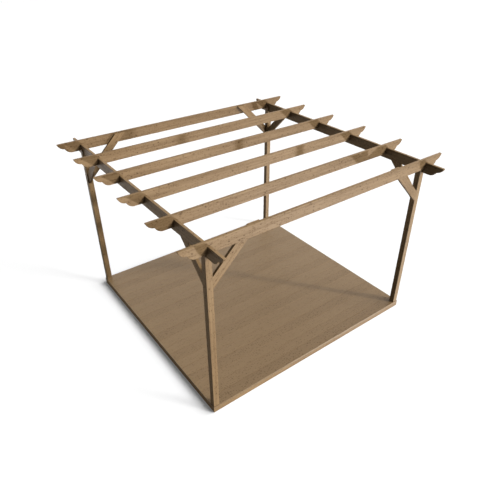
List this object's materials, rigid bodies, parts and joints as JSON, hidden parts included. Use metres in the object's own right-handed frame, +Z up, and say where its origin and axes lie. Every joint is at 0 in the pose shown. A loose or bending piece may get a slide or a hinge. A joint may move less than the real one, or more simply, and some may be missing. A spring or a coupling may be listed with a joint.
{
  "type": "timber pergola with deck",
  "caption": "Open timber pergola on a low square deck: slotted corner posts, two beams, cross-lapped rafters with scroll ends and diagonal braces.",
  "frame": {"origin": "on the ground, under the middle of the deck", "axes": "X along the rafters, Y along the beams with the front at -Y, Z up"},
  "size_m": [3.645, 3.558, 2.266],
  "materials": {
    "post_timber": "planed softwood, weathered tan",
    "rafter_timber": "planed softwood, tan with small knots",
    "brace_timber": "planed softwood, pale tan",
    "deck_timber": "smooth deck boards, greyer tan",
    "frame_timber": "sawn softwood"
  },
  "bodies": {
    "root": {"front_left_post": "post_timber", "front_right_post": "post_timber", "back_left_post": "post_timber", "back_right_post": "post_timber", "left_beam": "rafter_timber", "right_beam": "rafter_timber", "front_end_rafter": "rafter_timber", "inner_rafter_1": "rafter_timber", "inner_rafter_2": "rafter_timber", "inner_rafter_3": "rafter_timber", "inner_rafter_4": "rafter_timber", "back_end_rafter": "rafter_timber", "front_left_rafter_brace": "brace_timber", "front_right_rafter_brace": "brace_timber", "back_left_rafter_brace": "brace_timber", "back_right_rafter_brace": "brace_timber", "front_left_beam_brace": "brace_timber", "front_right_beam_brace": "brace_timber", "back_left_beam_brace": "brace_timber", "back_right_beam_brace": "brace_timber", "front_rim": "frame_timber", "back_rim": "frame_timber", "left_rim": "frame_timber", "right_rim": "frame_timber", "deck_joists": "frame_timber", "deck_boards": "deck_timber"}
  },
  "joints": []
}
